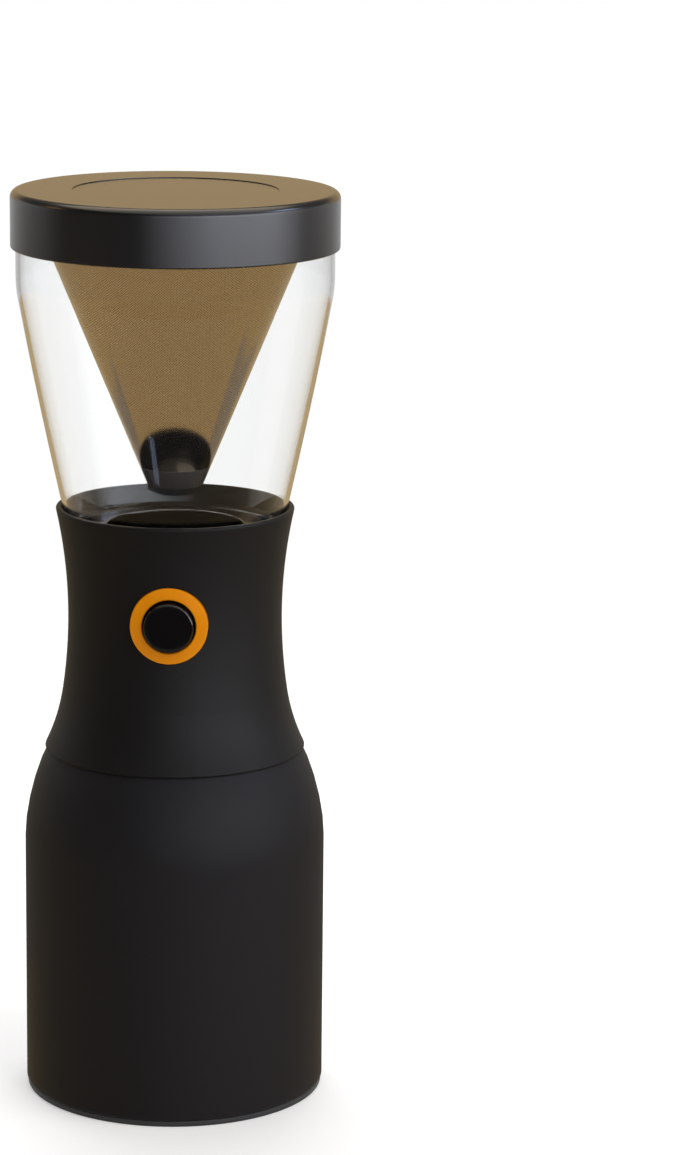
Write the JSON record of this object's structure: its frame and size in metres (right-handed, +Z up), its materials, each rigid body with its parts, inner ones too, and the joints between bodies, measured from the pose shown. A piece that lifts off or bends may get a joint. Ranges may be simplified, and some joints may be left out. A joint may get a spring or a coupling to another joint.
{
  "type": "cold brew coffee maker",
  "caption": "Free-standing cold brew coffee maker: lidded clear vessel with cone filter over a vacuum carafe, with a push button that opens the drain valve.",
  "frame": {"origin": "centre of the foot pad's underside, on the surface it stands on", "axes": "+Z up along the axis of the carafe, vessel and lid; the push button faces -Y"},
  "size_m": [0.1212, 0.1212, 0.342],
  "materials": {
    "powder_coat": "powder-coated, fine texture",
    "steel": "brushed",
    "silicone": "moulded silicone",
    "soft_touch": "soft-touch matte",
    "black_plastic": "moulded",
    "clear_plastic": "clear copolyester",
    "orange_plastic": "satin",
    "gloss_black": "glossy",
    "lid_black": "satin gloss",
    "mesh_steel": "finely perforated sheet",
    "spring_steel": "drawn wire"
  },
  "bodies": {
    "carafe": {"carafe_outer_shell": "powder_coat", "carafe_liner": "steel", "carafe_base_plate": "steel", "carafe_getter": "steel", "carafe_foot_pad": "silicone"},
    "brewer": {"neck_seal": "silicone", "collar": "soft_touch", "neck_socket": "black_plastic", "valve_housing": "black_plastic", "housing_screws": "steel", "vessel_seal": "silicone", "vessel": "clear_plastic", "clamp_ring": "black_plastic", "valve_seat": "black_plastic", "button_bezel": "orange_plastic", "button_guide": "black_plastic", "rod_seal": "silicone"},
    "button": {"button_cap": "gloss_black", "push_rod": "black_plastic", "rod_clip": "steel", "button_spring": "spring_steel"},
    "valve": {"valve_stem": "black_plastic", "valve_plug": "silicone", "valve_spring": "spring_steel"},
    "filter": {"filter_cone": "mesh_steel", "filter_tip": "gloss_black", "filter_rim": "steel", "filter_seal": "silicone"},
    "lid": {"lid_cap": "lid_black", "lid_inlay": "lid_black", "lid_liner": "black_plastic", "lid_seal": "silicone"}
  },
  "joints": [
    {"name": "brewer_lift", "type": "slide", "parent": "carafe", "child": "brewer", "axis": [0, 0, 1], "range_m": [0, 0.06]},
    {"name": "filter_lift", "type": "slide", "parent": "brewer", "child": "filter", "axis": [0, 0, 1], "range_m": [0, 0.112]},
    {"name": "lid_lift", "type": "slide", "parent": "filter", "child": "lid", "axis": [0, 0, 1], "range_m": [0, 0.04]},
    {"name": "button_press", "type": "slide", "parent": "brewer", "child": "button", "axis": [0, 1, 0], "range_m": [0, 0.005], "stiffness_N_per_m": 300, "deforming": ["button_spring"]},
    {"name": "valve_lift", "type": "slide", "parent": "brewer", "child": "valve", "axis": [0, 0, 1], "range_m": [0, 0.003], "deforming": ["valve_spring"]}
  ],
  "couplings": [
    {"joint": "valve_lift", "follows": "button_press", "ratio": 0.6}
  ]
}
